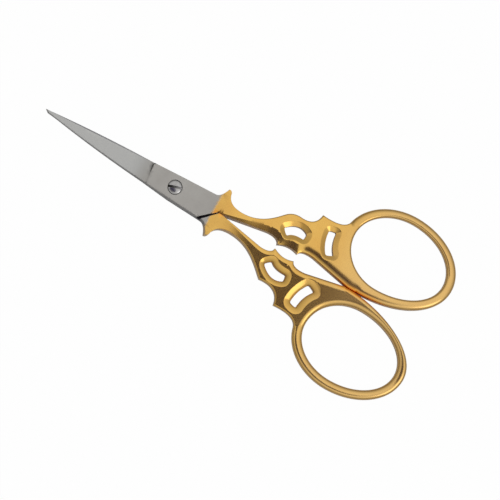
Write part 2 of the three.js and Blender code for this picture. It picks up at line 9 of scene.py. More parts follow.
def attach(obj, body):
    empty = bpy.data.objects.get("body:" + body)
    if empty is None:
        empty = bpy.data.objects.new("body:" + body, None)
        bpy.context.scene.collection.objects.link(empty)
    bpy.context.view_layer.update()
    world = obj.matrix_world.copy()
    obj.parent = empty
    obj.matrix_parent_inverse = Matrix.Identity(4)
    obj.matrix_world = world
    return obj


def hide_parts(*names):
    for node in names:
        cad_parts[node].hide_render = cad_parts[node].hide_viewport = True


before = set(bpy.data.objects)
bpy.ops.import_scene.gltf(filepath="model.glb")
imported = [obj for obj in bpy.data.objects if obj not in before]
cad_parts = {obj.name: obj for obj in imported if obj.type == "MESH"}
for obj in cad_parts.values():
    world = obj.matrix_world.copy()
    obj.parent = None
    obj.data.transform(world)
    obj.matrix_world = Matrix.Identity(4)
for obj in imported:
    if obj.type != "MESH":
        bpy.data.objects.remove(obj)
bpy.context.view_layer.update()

# Sizes in millimetres, about the pivot, as in the part's source: +X to the finger bows, +Y to the
# upper half's bow, +Z up. PIVOT_X moves them to the part's own origin. The lower handle is made as on
# the upper half and mirrored, and the lower blade is made so and turned over.
MM = 0.001
PIVOT_X = -14.85
THICKNESS = 3.2
UPPER_FLAT, LOWER_FLAT = 1.63, 1.57
CLOSING_Y = 0.03
PLATING_X = 9.0
CROTCH_X = 10.0
SHOULDER = np.array([-2.6, 2.7]) / math.hypot(2.6, 2.7)
SHOULDER_GAP, SHOULDER_SPAN = 0.6, (3, 8)

# Blades
BLADE_LENGTH = 30.25
BLADE_REACH = 2.6
BLADE_SWELL = 0.38
TIP_WIDTH = 0.5
TIP_THICKNESS = 0.55
TIP_OFFSET = 0.67
TIP_SLANT = 0.7
GRIND_START = 5.7
GRIND_STEP = 0.25
GRIND_SLANT = 0.12
GRIND_RAMP = 0.24
GRIND_HALF = 4
EDGE_SLOPE = math.tan(math.radians(84))
EDGE_THICKNESS = 0.03
BEVEL_START = 0.6
HOLLOW, HOLLOW_GROWS = 0.07, (5, 9)
LEAST_WIDTH = 0.2

# Handles, in plan
SPUR_BASE = (7.8, 2.95)
SPUR_X, SPUR_REACH, SPUR_TIP = 10.2, 5.2, 0.8
NECK_EASE, LOBE_EASE, LOBE_EASE_RISE = 0.47, 0.72, 0.51
SCALLOP, SCALLOP_SAG = (29.1, 10.6), 0.47
BOW_X, BOW_END_X = 34.6, 59.7
BOW_AXIS_Y = 10.5
BOW_OUTER_BAND = 1.71
BOW_JOIN = math.radians(180 - 11.7)
OPENING_X, OPENING_END_X = 36.7, 57.65
OPENING_RADIUS_Y = 7.84
OUTER_WIDEST_X, INNER_WIDEST_X = 46.475, 45.545
GAP_START_X = 10.9
FRONT_CREST, FRONT_CUSP, FRONT_ROUND = (20.9, 1.7), (23.75, 0.47), 0.2
REAR_CUSP, REAR_CREST, REAR_ROUND = (28.3, 0.85), (31.6, 1.78), 0.35
CUSP_ARCH_REACH = 1.2
# The start, bend and end of each piercing's two long sides, as shares of its box
FIRST_SIDES = [[(0.25, 0), (0.45, 0.5), (0.97, 0.42)], [(1, 1), (0.52, 1.64), (0, 0.52)]]
SECOND_SIDES = [[(1, 0.14), (0.52, 0.48), (0.48, 1)], [(0, 0.93), (0.01, 0.41), (0.52, 0)]]
PIERCING_END_BULGE, PIERCING_SIDE_CUT, PIERCING_END_CUT = 0.11, 0.07, 0.16

# Where the two handles differ. The lobe has a corner and a rounding. The closing is where the bow's side
# along the gap starts and ends, and how full its curve is at that end and at the bow's end. The piercings
# are boxes. An edge has a reach inward, a drop, and the share of it that is bevelled instead of rounded,
# and the gap's edge changes from one kind to another along GAP_CHANGES.
UPPER_HALF = {
    "neck": (14.2, 2.39),
    "lobe": ((23.5, 8.05), 1.9),
    "closing": (40.5, 42.45, 0.6, 0.55),
    "opening_reach": OPENING_RADIUS_Y,
    "piercings": (((23.35, 3.07), (28.1, 5.39)), ((31.7, 3.6), (34.9, 8.75))),
    "bow_edge": (1.3, 0.8, 0),
    "opening_edge": (0.6, 0.6, 0),
    "gap_edge": ((1.45, 0.33, 1), (2.3, 0.8, 0)),
    "piercing_edges": ((1.05, 0.48, 1), (1.05, 0.48, 1)),
}
LOWER_HALF = {
    "neck": (14.2, 2.27),
    "lobe": ((24.0, 7.45), 0.2),
    "closing": (39.9, 40.4, 0.45, 0.58),
    "opening_reach": 7.55,
    "piercings": (((23.35, 3.0), (28.5, 5.4)), ((31.75, 3.4), (35.05, 8.7))),
    "bow_edge": (0.9, 0.7, 0),
    "opening_edge": (1.25, 0.8, 0),
    "gap_edge": ((0.9, 0.33, 0.6), (1.2, 0.6, 0)),
    "piercing_edges": ((1.15, 0.7, 0.6), (1.45, 0.75, 0.6)),
}
GAP_CHANGES = (27.0, 30.5)
OUTER_EDGE = (0.3, 0.3, 0)
BEVEL_EASE = 1.05
# Roundings grow from a share at the plating on. Edges on the plating line stay square.
PLATED_SHARE, ROUND_GROWS = 0.15, (9.6, 24.0)
CROWN_SLOPE = math.tan(math.radians(5.3))
CROWN_WIDTH, CROWN_GROWS = 12.0, (10.5, 19.0)

# Screw
SHANK_RADIUS, BORE_RADIUS = 1.1, 1.15
HEAD_RADIUS, HEAD_RIM, HEAD_HEIGHT = 1.5, 0.12, 0.55
SEAT_RADIUS, SEAT_Z = 1.55, 3.0
SLOT_WIDTH, SLOT_DEPTH, SLOT_HALF = 0.45, 0.32, 2
SLOT_ANGLE = math.radians(18)

# The other roundings
HANDLE_UNDER, SMALL_UNDER = (0.8, 0.9, 0), (0.05, 0.01, 0)
BLADE_EDGE, BORE_EDGE, HEAD_EDGE = (0.14, 0.14, 0), (0.05, 0.05, 0), (0.05, 0.05, 0)

# Meshes: the longest side and turn along a curve, rows of points along an edge as shares of its reach,
# what keeps a row clear of its own and other edges, the grids, and half the width of a step
STEP, TURN = 0.3, math.radians(8)
ROWS = [*(1 - np.cos(np.radians([8, 17, 27, 38, 51, 64, 77]))), 0.97, 1.03]
ROW_LEAST, ROW_OWN_SHARE = 0.004, 0.93
ROW_OTHER, ROW_OTHER_SHARE = 0.1, 0.6
HANDLE_GRID, BLADE_GRID, HEAD_GRID = 0.5, 0.7, 0.12
GRID_ROW, GRID_REACH, GRID_REACH_SHARE, GRID_CLEAR = 0.866, 1.2, 0.8, 0.12
HALF_STEP, SLOT_HALF_STEP = 0.005, 0.01
SLOPE_STEP, BESIDE_EDGE = 0.005, 0.006
SHARP_ANGLE = math.radians(26)
CHUNK = 500

# Painted shade in the seam, the grind's step and the screw's slot and rim, and a painted warm reflection
# along the gap, as shares from 0 to 1, and the distances over which they come and go
SEAM_SHADE = (0.8, 0.4)
BOUNCE_LIGHT_WIDTH, BOUNCE_LIGHT_WIDENS, BOUNCE_LIGHT_WIDENS_X, BOUNCE_LIGHT_FULL = 0.3, 0.8, (33, 39), 0.25
STROKE_SHADE, STROKE_DEEPENS, STROKE_FADES = 0.6, (-0.8, 1.2), (0.7, 0.2)
HAZE_SHADE, HAZE_FADES = 0.2, (5, 0.3)
GRIND_SHADE_STARTS = (-0.02, 0.05)
SLOT_SHADE, SLOT_SHADE_FALL = 0.75, 0.3
RIM_SHADE, RIM_SHADE_GROWS = 0.35, (1.3, 1.49)


# Plan outlines

def smooth_step(x, start, end):
    t = np.clip((x - start) / (end - start), 0, 1)
    return t * t * (3 - 2 * t)


def sampled(curve):
    fine = curve(np.linspace(0, 1, 65)[:, None])
    sides = np.diff(fine, axis=0)
    heading = np.unwrap(np.arctan2(sides[:, 1], sides[:, 0]))
    length = np.hypot(*sides.T).sum()
    count = max(1, math.ceil(length / STEP), math.ceil(np.abs(np.diff(heading)).sum() / TURN))
    return curve(np.linspace(0, 1, count, endpoint=False)[:, None])


def line(a, b):
    a, b = np.array(a), np.array(b)
    return sampled(lambda t: a + (b - a) * t)


def quad_point(a, c, b, t):
    return a * (1 - t) ** 2 + 2 * c * t * (1 - t) + b * t * t


def quad(a, c, b, start=0.0, end=1.0):
    a, c, b = np.array(a), np.array(c), np.array(b)
    return sampled(lambda t: quad_point(a, c, b, start + (end - start) * t))


def cubic(a, c, d, b):
    a, c, d, b = (np.array(p) for p in (a, c, d, b))
    return sampled(lambda t: (
        a * (1 - t) ** 3 + 3 * c * t * (1 - t) ** 2 + 3 * d * t * t * (1 - t) + b * t ** 3))


def arc(centre, rx, ry, start, end):
    def point(t):
        angle = start + (end - start) * t
        return np.hstack([centre[0] + rx * np.cos(angle), centre[1] + ry * np.sin(angle)])
    return sampled(point)


def circle(radius):
    return arc((0, 0), radius, radius, 0, 2 * math.pi)


def closed_circle(radius):
    return np.vstack([circle(radius), circle(radius)[:1]])


def shoulder_point(ahead):
    return np.array([CROTCH_X, 0]) + np.array([-SHOULDER[1], SHOULDER[0]]) * ahead


def shoulder_line(ahead):
    start = shoulder_point(ahead)
    return line(start - SHOULDER * SHOULDER_SPAN[0], start + SHOULDER * SHOULDER_SPAN[1])


def shoulder_distance(xy):
    """How far a point lies ahead of the upper half's shoulder line, toward the tips."""
    return (xy[:, 0] - CROTCH_X) * -SHOULDER[1] + xy[:, 1] * SHOULDER[0]


def lapped(xy):
    """Whether points are ahead of the shoulder, where the two halves lie on each other."""
    return shoulder_distance(xy) > -SHOULDER_GAP / 2


def blade_end(reach, ahead=SHOULDER_GAP / 2):
    """Where an upper blade ends, ahead of the lower half's shoulder, at a reach on that side."""
    start = shoulder_point(ahead)
    x, y = start + SHOULDER * (reach - start[1]) / SHOULDER[1]
    return x, -y


def spur_base():
    tip_start = SPUR_X - SPUR_TIP / 2
    return quad(SPUR_BASE, (tip_start - SPUR_TIP, SPUR_BASE[1]), (tip_start, SPUR_REACH))


def lobe_edge(neck, corner, rounding):
    """From the neck up to the lobe's corner, round it, and along the scallop to its cusp."""
    corner, neck = np.array(corner), np.array(neck)
    ease = neck + (corner - neck) * (LOBE_EASE, LOBE_EASE_RISE)
    sag = np.array([SCALLOP[0] - SCALLOP_SAG, corner[1] - SCALLOP_SAG])
    before = corner + (ease - corner) / np.hypot(*(ease - corner)) * rounding
    after = corner + (sag - corner) / np.hypot(*(sag - corner)) * rounding
    return np.vstack([
        cubic(neck, neck + (corner - neck) * (NECK_EASE, 0), ease, before),
        quad(before, corner, after),
        quad(after, sag, SCALLOP),
    ])


def bow_root():
    """From the scallop's cusp, with a sag, on to the bow in the bow's own direction."""
    rx, ry = OUTER_WIDEST_X - BOW_X, OPENING_RADIUS_Y + BOW_OUTER_BAND
    low = SCALLOP[1] - SCALLOP_SAG
    x, y = OUTER_WIDEST_X + rx * math.cos(BOW_JOIN), BOW_AXIS_Y + ry * math.sin(BOW_JOIN)
    return quad(SCALLOP, (x + (y - low) * rx / ry * math.tan(BOW_JOIN), low), (x, y))


def closing_curve(start, fullness, end_fullness):
    """The bow's edge from its end round to the line along the gap."""
    return cubic((BOW_END_X, BOW_AXIS_Y),
                 (BOW_END_X, BOW_AXIS_Y - end_fullness * (BOW_AXIS_Y - CLOSING_Y)),
                 (start + fullness * (BOW_END_X - start), CLOSING_Y),
                 (start, CLOSING_Y))


def edge(front, rear=None):
    """An edge's reach, drop and bevel at places along X, which may change along the gap."""
    front, rear = np.array(front)[:, None], np.array(rear or front)[:, None]
    return lambda x: front + (rear - front) * smooth_step(x, *GAP_CHANGES)


def handle_outline(half):
    tip_start, tip_end = SPUR_X - SPUR_TIP / 2, SPUR_X + SPUR_TIP / 2
    tip_end_y = SPUR_REACH - SPUR_TIP / 2
    neck, closing = half["neck"], half["closing"]
    widest = (OUTER_WIDEST_X, BOW_AXIS_Y)
    radius_y = OPENING_RADIUS_Y + BOW_OUTER_BAND
    arch_x = (FRONT_CUSP[0] + REAR_CUSP[0]) / 2
    arch_y = 2 * CUSP_ARCH_REACH - (FRONT_CUSP[1] + REAR_CUSP[1]) / 2
    start = blade_end(BLADE_REACH)
    crotch = blade_end(-CLOSING_Y, 0)
    return [
        (edge(OUTER_EDGE), np.vstack([
            line((start[0], BLADE_REACH), SPUR_BASE),
            spur_base(),
            quad((tip_start, SPUR_REACH), (SPUR_X, SPUR_REACH + SPUR_TIP / 4), (tip_end, tip_end_y)),
            quad((tip_end, tip_end_y), (SPUR_X + SPUR_TIP, neck[1]), neck),
            lobe_edge(neck, *half["lobe"]),
            bow_root(),
        ])),
        (edge(half["bow_edge"]), np.vstack([
            arc(widest, OUTER_WIDEST_X - BOW_X, radius_y, BOW_JOIN, math.pi / 2),
            arc(widest, BOW_END_X - OUTER_WIDEST_X, radius_y, math.pi / 2, 0),
            closing_curve(*closing[1:]),
        ])),
        (edge(*half["gap_edge"]), np.vstack([
            line((closing[1], CLOSING_Y), (closing[0], CLOSING_Y)),
            line((closing[0], CLOSING_Y), REAR_CREST),
            quad(REAR_CREST, (REAR_CUSP[0] + REAR_ROUND, REAR_CREST[1] + REAR_ROUND), REAR_CUSP),
            quad(REAR_CUSP, (arch_x, arch_y), FRONT_CUSP),
            quad(FRONT_CUSP, (FRONT_CUSP[0] - FRONT_ROUND, FRONT_CREST[1] + FRONT_ROUND), FRONT_CREST),
            line(FRONT_CREST, (GAP_START_X, CLOSING_Y)),
            line((GAP_START_X, CLOSING_Y), crotch),
            line(crotch, start),
        ])),
    ]


def opening_outline(reach):
    """A bow's opening, as four quarter ellipses, with its own reach on the far side."""
    quarter = math.pi / 2
    corners = [
        (OUTER_WIDEST_X, OPENING_END_X - OUTER_WIDEST_X, reach),
        (OUTER_WIDEST_X, OUTER_WIDEST_X - OPENING_X, reach),
        (INNER_WIDEST_X, INNER_WIDEST_X - OPENING_X, OPENING_RADIUS_Y),
        (INNER_WIDEST_X, OPENING_END_X - INNER_WIDEST_X, OPENING_RADIUS_Y),
    ]
    return np.vstack([arc((x, BOW_AXIS_Y), rx, ry, i * quarter, (i + 1) * quarter)
                      for i, (x, rx, ry) in enumerate(corners)])


def piercing_outline(low, high, long_sides):
    """A curved slot: two bent long sides, each followed by a bulging end, with rounded corners."""
    low, high = np.array(low), np.array(high)
    sides = [[low + (high - low) * share for share in side] for side in long_sides]
    curves = []
    for i, (start, bend, end) in enumerate(sides):
        after = sides[1 - i][0]
        outward = np.array([(after - end)[1], -(after - end)[0]]) * PIERCING_END_BULGE
        curves.append(((start, bend, end), PIERCING_SIDE_CUT))
        curves.append(((end, (end + after) / 2 + outward, after), PIERCING_END_CUT))
    out = []
    for (curve, cut), (after, after_cut) in zip(curves, curves[1:] + curves[:1]):
        out.append(quad(*curve, cut, 1 - cut))
        out.append(quad(quad_point(*curve, 1 - cut), curve[2], quad_point(*after, after_cut)))
    return np.vstack(out)


def back_middle(lean):
    """The Y that the bowed back of an upper blade bends toward, for a tip that leans to one side."""
    return (lean - BLADE_REACH - TIP_WIDTH / 2) / 2 - 2 * BLADE_SWELL


def back_y(x, lean):
    """The bowed back of an upper blade, on -Y."""
    end_x, end_y = blade_end(SPUR_BASE[1])
    t = np.clip(-x / BLADE_LENGTH, 0, 1)
    bowed = quad_point(-BLADE_REACH, back_middle(lean), lean - TIP_WIDTH / 2, t)
    return np.where(x < 0, bowed, -BLADE_REACH + (end_y + BLADE_REACH) * np.clip(x / end_x, 0, 1))


def blade_outline(lean, edge_x, back_x):
    tip_y = TIP_WIDTH / 2
    end = blade_end(SPUR_BASE[1])
    crotch = blade_end(-CLOSING_Y, 0)
    return np.vstack([
        line((edge_x, lean + tip_y), (0, BLADE_REACH)),
        line((0, BLADE_REACH), SPUR_BASE),
        spur_base(),
        line((SPUR_X - SPUR_TIP / 2, SPUR_REACH), (SPUR_X, CLOSING_Y)),
        line((SPUR_X, CLOSING_Y), crotch),
        line(crotch, end),
        line(end, (0, -BLADE_REACH)),
        quad((0, -BLADE_REACH), (-BLADE_LENGTH / 2, back_middle(lean)), (back_x, lean - tip_y)),
        line((back_x, lean - tip_y), (edge_x, lean + tip_y)),
    ])


def beside_plating(edges, side):
    """The part of an outline on one side of the plating line, closed along it, with its roundings."""
    rounds = [rounding for rounding, points in edges for _ in points]
    loop = np.vstack([points for _, points in edges])
    kept = []
    for a, b, rounding in zip(loop, np.roll(loop, -1, axis=0), rounds):
        inside_a, inside_b = ((p[0] - PLATING_X) * side > 0 for p in (a, b))
        if inside_a:
            kept.append((a, rounding))
        if inside_a != inside_b:
            crossing = a + (b - a) * (PLATING_X - a[0]) / (b[0] - a[0])
            kept.append((crossing, rounding if inside_b else None))
    out = []
    for (a, rounding), (b, _) in zip(kept, kept[1:] + kept[:1]):
        out.append((rounding, line(a, b) if rounding is None else np.array([a])))
    return out


# Relief: a plan outline with an upper and a lower surface, rounded toward its edges

def nearest_segment(points, a, b):
    """The distance to the nearest segment, and which one that is."""
    out, which = np.empty(len(points)), np.empty(len(points), int)
    side = b - a
    squared = (side ** 2).sum(1)
    for i in range(0, len(points), CHUNK):
        offset = points[i:i + CHUNK, None] - a
        t = np.clip((offset * side).sum(2) / squared, 0, 1)
        far = ((offset - side * t[..., None]) ** 2).sum(2)
        which[i:i + CHUNK] = far.argmin(1)
        out[i:i + CHUNK] = np.sqrt(far.min(1))
    return out, which


def segment_distance(points, a, b):
    return nearest_segment(points, a, b)[0]


def smooth_distance(points, a, b):
    """A distance to the edges with no crease where two of them are as near: the distance to the power
    of -4 is integrated along them."""
    out = np.empty(len(points))
    length = np.hypot(*(b - a).T)
    along = (b - a) / length[:, None]
    integral = lambda s, h: s * (3 * h + 2 * s * s) / (3 * h * h * (h + s * s) ** 1.5)
    for i in range(0, len(points), CHUNK):
        offset = a - points[i:i + CHUNK, None]
        s = (offset * along).sum(2)
        end = s + length
        h = np.maximum((offset ** 2).sum(2) - s * s, 1e-8)
        h = np.where(s * end > 0, np.maximum(h, 1e-3 * np.minimum(s * s, end * end)), h)
        out[i:i + CHUNK] = ((integral(end, h) - integral(s, h)).sum(1) * 3 / 4) ** -0.25
    return out


def inside(points, a, b):
    out = np.empty(len(points), bool)
    for i in range(0, len(points), CHUNK):
        x, y = points[i:i + CHUNK, 0, None], points[i:i + CHUNK, 1, None]
        spans = (a[:, 1] > y) != (b[:, 1] > y)
        rise = np.where(b[:, 1] == a[:, 1], 1, b[:, 1] - a[:, 1])
        crosses = x < a[:, 0] + (b[:, 0] - a[:, 0]) * (y - a[:, 1]) / rise
        out[i:i + CHUNK] = (spans & crosses).sum(1) % 2 == 1
    return out


def rounded(distance, reach, bevel):
    """How far a rounded or bevelled edge has dropped at a distance from it, from 1 at the edge to 0."""
    rim = 1 - np.minimum(distance / reach, 1)
    return (1 - bevel) * (1 - np.sqrt(1 - rim ** 2)) + bevel * rim ** BEVEL_EASE


def wound_loops(outline, holes):
    """The outline anticlockwise and the holes clockwise, and the rounding of each of their sides."""
    loops, rounds = [], []
    for i, edges in enumerate([outline, *holes]):
        loop = np.vstack([points for _, points in edges])
        kinds = [rounding for rounding, points in edges for _ in points]
        x, y = loop.T
        if (np.sum(x * np.roll(y, -1) - np.roll(x, -1) * y) > 0) != (i == 0):
            loop, kinds = loop[::-1], kinds[-2::-1] + kinds[-1:]
        loops.append(loop)
        rounds += kinds
    return loops, rounds


def numbered_sides(loops, creases):
    """The sides of closed loops and open creases, as pairs of their points' numbers."""
    sides, start = [], 0
    for loop in loops:
        count = len(loop)
        sides += [(start + i, start + (i + 1) % count) for i in range(count)]
        start += count
    for crease in creases:
        sides += [(start + i, start + i + 1) for i in range(len(crease) - 1)]
        start += len(crease)
    return sides


def edge_rows(loops, a, b, square, width, share):
    """Rows of points along the roundings, left out where they come too near to an edge."""
    loop_of = np.concatenate([np.full(len(loop), i) for i, loop in enumerate(loops)])
    inward = np.stack([-(b - a)[:, 1], (b - a)[:, 0]], 1) / np.hypot(*(b - a).T)[:, None]
    inward[square] = 0
    starts = np.cumsum([0] + [len(loop) for loop in loops[:-1]])
    previous = np.concatenate([
        np.roll(np.arange(len(loop)), 1) + start for loop, start in zip(loops, starts)])
    normal = inward + inward[previous]
    normal /= np.maximum(np.hypot(*normal.T), 1e-9)[:, None]
    rows = []
    for inward_share in ROWS:
        offset = width * share * inward_share
        row = a + normal * offset[:, None]
        for i in range(len(loops)):
            own = loop_of == i
            keep = offset[own] > ROW_LEAST
            keep &= segment_distance(row[own], a[own], b[own]) > offset[own] * ROW_OWN_SHARE
            if not own.all():
                far, which = nearest_segment(row[own], a[~own], b[~own])
                clear = np.minimum(offset[own] * ROW_OTHER_SHARE, width[~own][which])
                keep &= far > np.maximum(ROW_OTHER, clear)
            rows.append(row[own][keep])
    return rows


def grid_inside(a, b, width, spacing):
    """A triangular grid of points inside the outline, clear of the roundings."""
    low, high = a.min(0), a.max(0)
    grid = []
    for i, y in enumerate(np.arange(low[1], high[1], spacing * GRID_ROW)):
        x = np.arange(low[0] + spacing / 2 * (i % 2), high[0], spacing)
        grid.append(np.column_stack([x, np.full(len(x), y)]))
    grid = np.vstack(grid)
    grid = grid[inside(grid, a, b)]
    clear = min(width.max(), GRID_REACH) * GRID_REACH_SHARE + GRID_CLEAR
    return grid[segment_distance(grid, a, b) > clear]


def triangulated(points, sides, a, b):
    """The points in use and the triangles between them, inside the outline and facing up."""
    flat, _, faces, *_ = delaunay_2d_cdt([Vector(p) for p in points], sides, [], 0, 1e-6, False)
    flat, faces = np.array(flat), np.array(faces)
    faces = faces[inside(flat[faces].mean(1), a, b)]
    used, faces = np.unique(faces, return_inverse=True)
    flat, faces = flat[used], faces.reshape(-1, 3)
    corner = flat[faces]
    turn = np.cross(corner[:, 1] - corner[:, 0], corner[:, 2] - corner[:, 0])
    faces[turn < 0] = faces[turn < 0][:, ::-1]
    return flat, faces


def painted_light_on(flat, top, bottom, painted_shade_at):
    """Painted shade in the seam between the halves and where the piece has it, and a painted warm reflection
    along the gap, of light bounced between the gold edges.
    """
    # Painted shade in the seam, on the faces that lie in it.
    seam = smooth_step(shoulder_distance(flat), *SEAM_SHADE) * lapped(flat)
    above = seam * (top(flat) < THICKNESS / 2)
    if painted_shade_at:
        above = np.maximum(above, painted_shade_at(flat))
    below = seam * (bottom(flat) > THICKNESS / 2)
    # Painted warm reflection along the gap, wider toward the bows' closing.
    near = BOUNCE_LIGHT_WIDTH + BOUNCE_LIGHT_WIDENS * smooth_step(flat[:, 0], *BOUNCE_LIGHT_WIDENS_X)
    painted_bounce_light = smooth_step((flat[:, 1] - CLOSING_Y) / near, 1, BOUNCE_LIGHT_FULL) * (flat[:, 0] > PLATING_X)
    return {"painted_shade": np.concatenate([above, below]), "painted_bounce_light": np.concatenate([painted_bounce_light, painted_bounce_light])}


# A piece may bring a function that gives more painted shade on its upper face.
def relief(name, outline, holes, top, bottom, under, share_at, creases, spacing,
           painted_shade_at=None, smooth_from=None, side=1):
    """A closed mesh between two heights over a plan with holes. Each edge has its rounding on the upper
    face, and all edges have the same one on the underside. From an X on, the upper face is shaded by the
    surface that it follows."""
    loops, rounds = wound_loops(outline, holes)
    a = np.vstack(loops)
    b = np.vstack([np.roll(loop, -1, axis=0) for loop in loops])
    outer = np.arange(len(a)) < len(loops[0])
    square = np.array([rounding is None for rounding in rounds])
    width = np.array([0 if kind is None else kind(x)[0, 0] for kind, x in zip(rounds, a[:, :1])])
    points = [a, *creases, *edge_rows(loops, a, b, square, width, share_at(a)),
              grid_inside(a, b, width, spacing)]
    flat, faces = triangulated(np.vstack(points), numbered_sides(loops, creases), a, b)

    def surface(xy):
        share = share_at(xy)
        wall = np.zeros(len(xy))
        for rounding in {kind for kind in rounds if kind is not None}:
            for whole, distance in ((outer, smooth_distance), (~outer, segment_distance)):
                own = whole & np.array([kind == rounding for kind in rounds])
                if own.any():
                    reach, drop, bevel = rounding(xy[:, 0])
                    fallen = rounded(distance(xy, a[own], b[own]), reach * share, bevel)
                    wall += (drop * share * fallen) ** 2
        return top(xy) - np.sqrt(wall)

    share = share_at(flat)
    risen = rounded(segment_distance(flat, a[~square], b[~square]), under[0] * share, under[2])
    lower = bottom(flat) + under[1] * share * risen
    upper = np.maximum(surface(flat), lower + EDGE_THICKNESS)
    count = len(flat)
    sides = {}
    for face in faces.tolist():
        for i, j in zip(face, face[1:] + face[:1]):
            sides[i, j] = None
    wall = [(i, i + count, j + count, j) for i, j in sides if (j, i) not in sides]
    verts = np.vstack([np.column_stack([flat, upper]), np.column_stack([flat, lower])])
    polygons = faces.tolist() + (faces[:, ::-1] + count).tolist() + wall

    normals = np.zeros((count, 3))
    if smooth_from is not None:
        fall = [(surface(flat - step) - surface(flat + step)) / (2 * SLOPE_STEP)
                for step in ((SLOPE_STEP, 0), (0, SLOPE_STEP))]
        normals = np.column_stack([*fall, np.ones(count)])
        normals /= np.linalg.norm(normals, axis=1)[:, None]
        normals[(flat[:, 0] < smooth_from) | (segment_distance(flat, a, b) < BESIDE_EDGE)] = 0
    return piece(name, verts, polygons, painted_light_on(flat, top, bottom, painted_shade_at), normals, len(faces), side)


def piece(name, verts, polygons, painted_light, normals, smooth_faces, side):
    """A mesh on the upper half's side (1) or the lower half's (-1). Its first faces get the normals
    of the surface they follow, where those aren't zero."""
    mesh = bpy.data.meshes.new(name)
    verts = (verts + np.array([PIVOT_X, 0, 0])) * (1, side, 1)
    polygons = [face[::side] for face in polygons]
    mesh.from_pydata((verts * MM).tolist(), [], polygons)
    # Shares of painted shade and painted reflection, as attributes that the materials read.
    for kind, share in painted_light.items():
        mesh.attributes.new(kind, "FLOAT", "POINT").data.foreach_set("value", share.astype(np.float32))
    mesh.polygons.foreach_set("use_smooth", np.ones(len(mesh.polygons), bool))
    mesh.set_sharp_from_angle(angle=SHARP_ANGLE)
    corners = np.empty(len(mesh.loops), np.int32)
    mesh.loops.foreach_get("vertex_index", corners)
    loop_normals = np.zeros((len(corners), 3))
    loop_normals[:3 * smooth_faces] = normals[corners[:3 * smooth_faces]] * (1, side, 1)
    if loop_normals.any():
        mesh.normals_split_custom_set(loop_normals.tolist())
    obj = bpy.data.objects.new(name, mesh)
    bpy.context.scene.collection.objects.link(obj)
    return obj


def turn_over(obj):
    obj.data.transform(Matrix.Translation((0, 0, THICKNESS * MM)) @ Matrix.Rotation(math.pi, 4, "X"))
    return obj


# The pieces

def constant(value):
    return lambda xy: np.full(len(xy), value)


def shoulder_creases():
    return [shoulder_line(-SHOULDER_GAP / 2 + side * HALF_STEP) for side in (-1, 1)]


def crowned(xy):
    """A handle's upper face, which falls from the gap on, and levels out beyond CROWN_WIDTH."""
    fall = CROWN_SLOPE * smooth_step(xy[:, 0], *CROWN_GROWS)
    y = xy[:, 1] - CLOSING_Y
    over = np.clip((y - CROWN_WIDTH + 1) / 2, 0, 1)
    return THICKNESS - fall * (np.clip(y, 0, CROWN_WIDTH + 1) - over ** 2)


def handle(name, half, lap_on_top):
    holes = [[(edge(half["opening_edge"]), opening_outline(half["opening_reach"]))]]
    for box, sides, rim in zip(half["piercings"], (FIRST_SIDES, SECOND_SIDES), half["piercing_edges"]):
        holes.append([(edge(rim), piercing_outline(*box, sides))])
    if lap_on_top:
        top = lambda xy: np.where(lapped(xy), LOWER_FLAT, crowned(xy))
        bottom = constant(0.0)
    else:
        top = crowned
        bottom = lambda xy: np.where(lapped(xy), UPPER_FLAT, 0.0)
    grown = lambda xy: PLATED_SHARE + (1 - PLATED_SHARE) * smooth_step(xy[:, 0], *ROUND_GROWS)
    return relief(name, beside_plating(handle_outline(half), 1), holes, top, bottom, HANDLE_UNDER, grown,
                  shoulder_creases(), HANDLE_GRID, smooth_from=GAP_START_X, side=-1 if lap_on_top else 1)


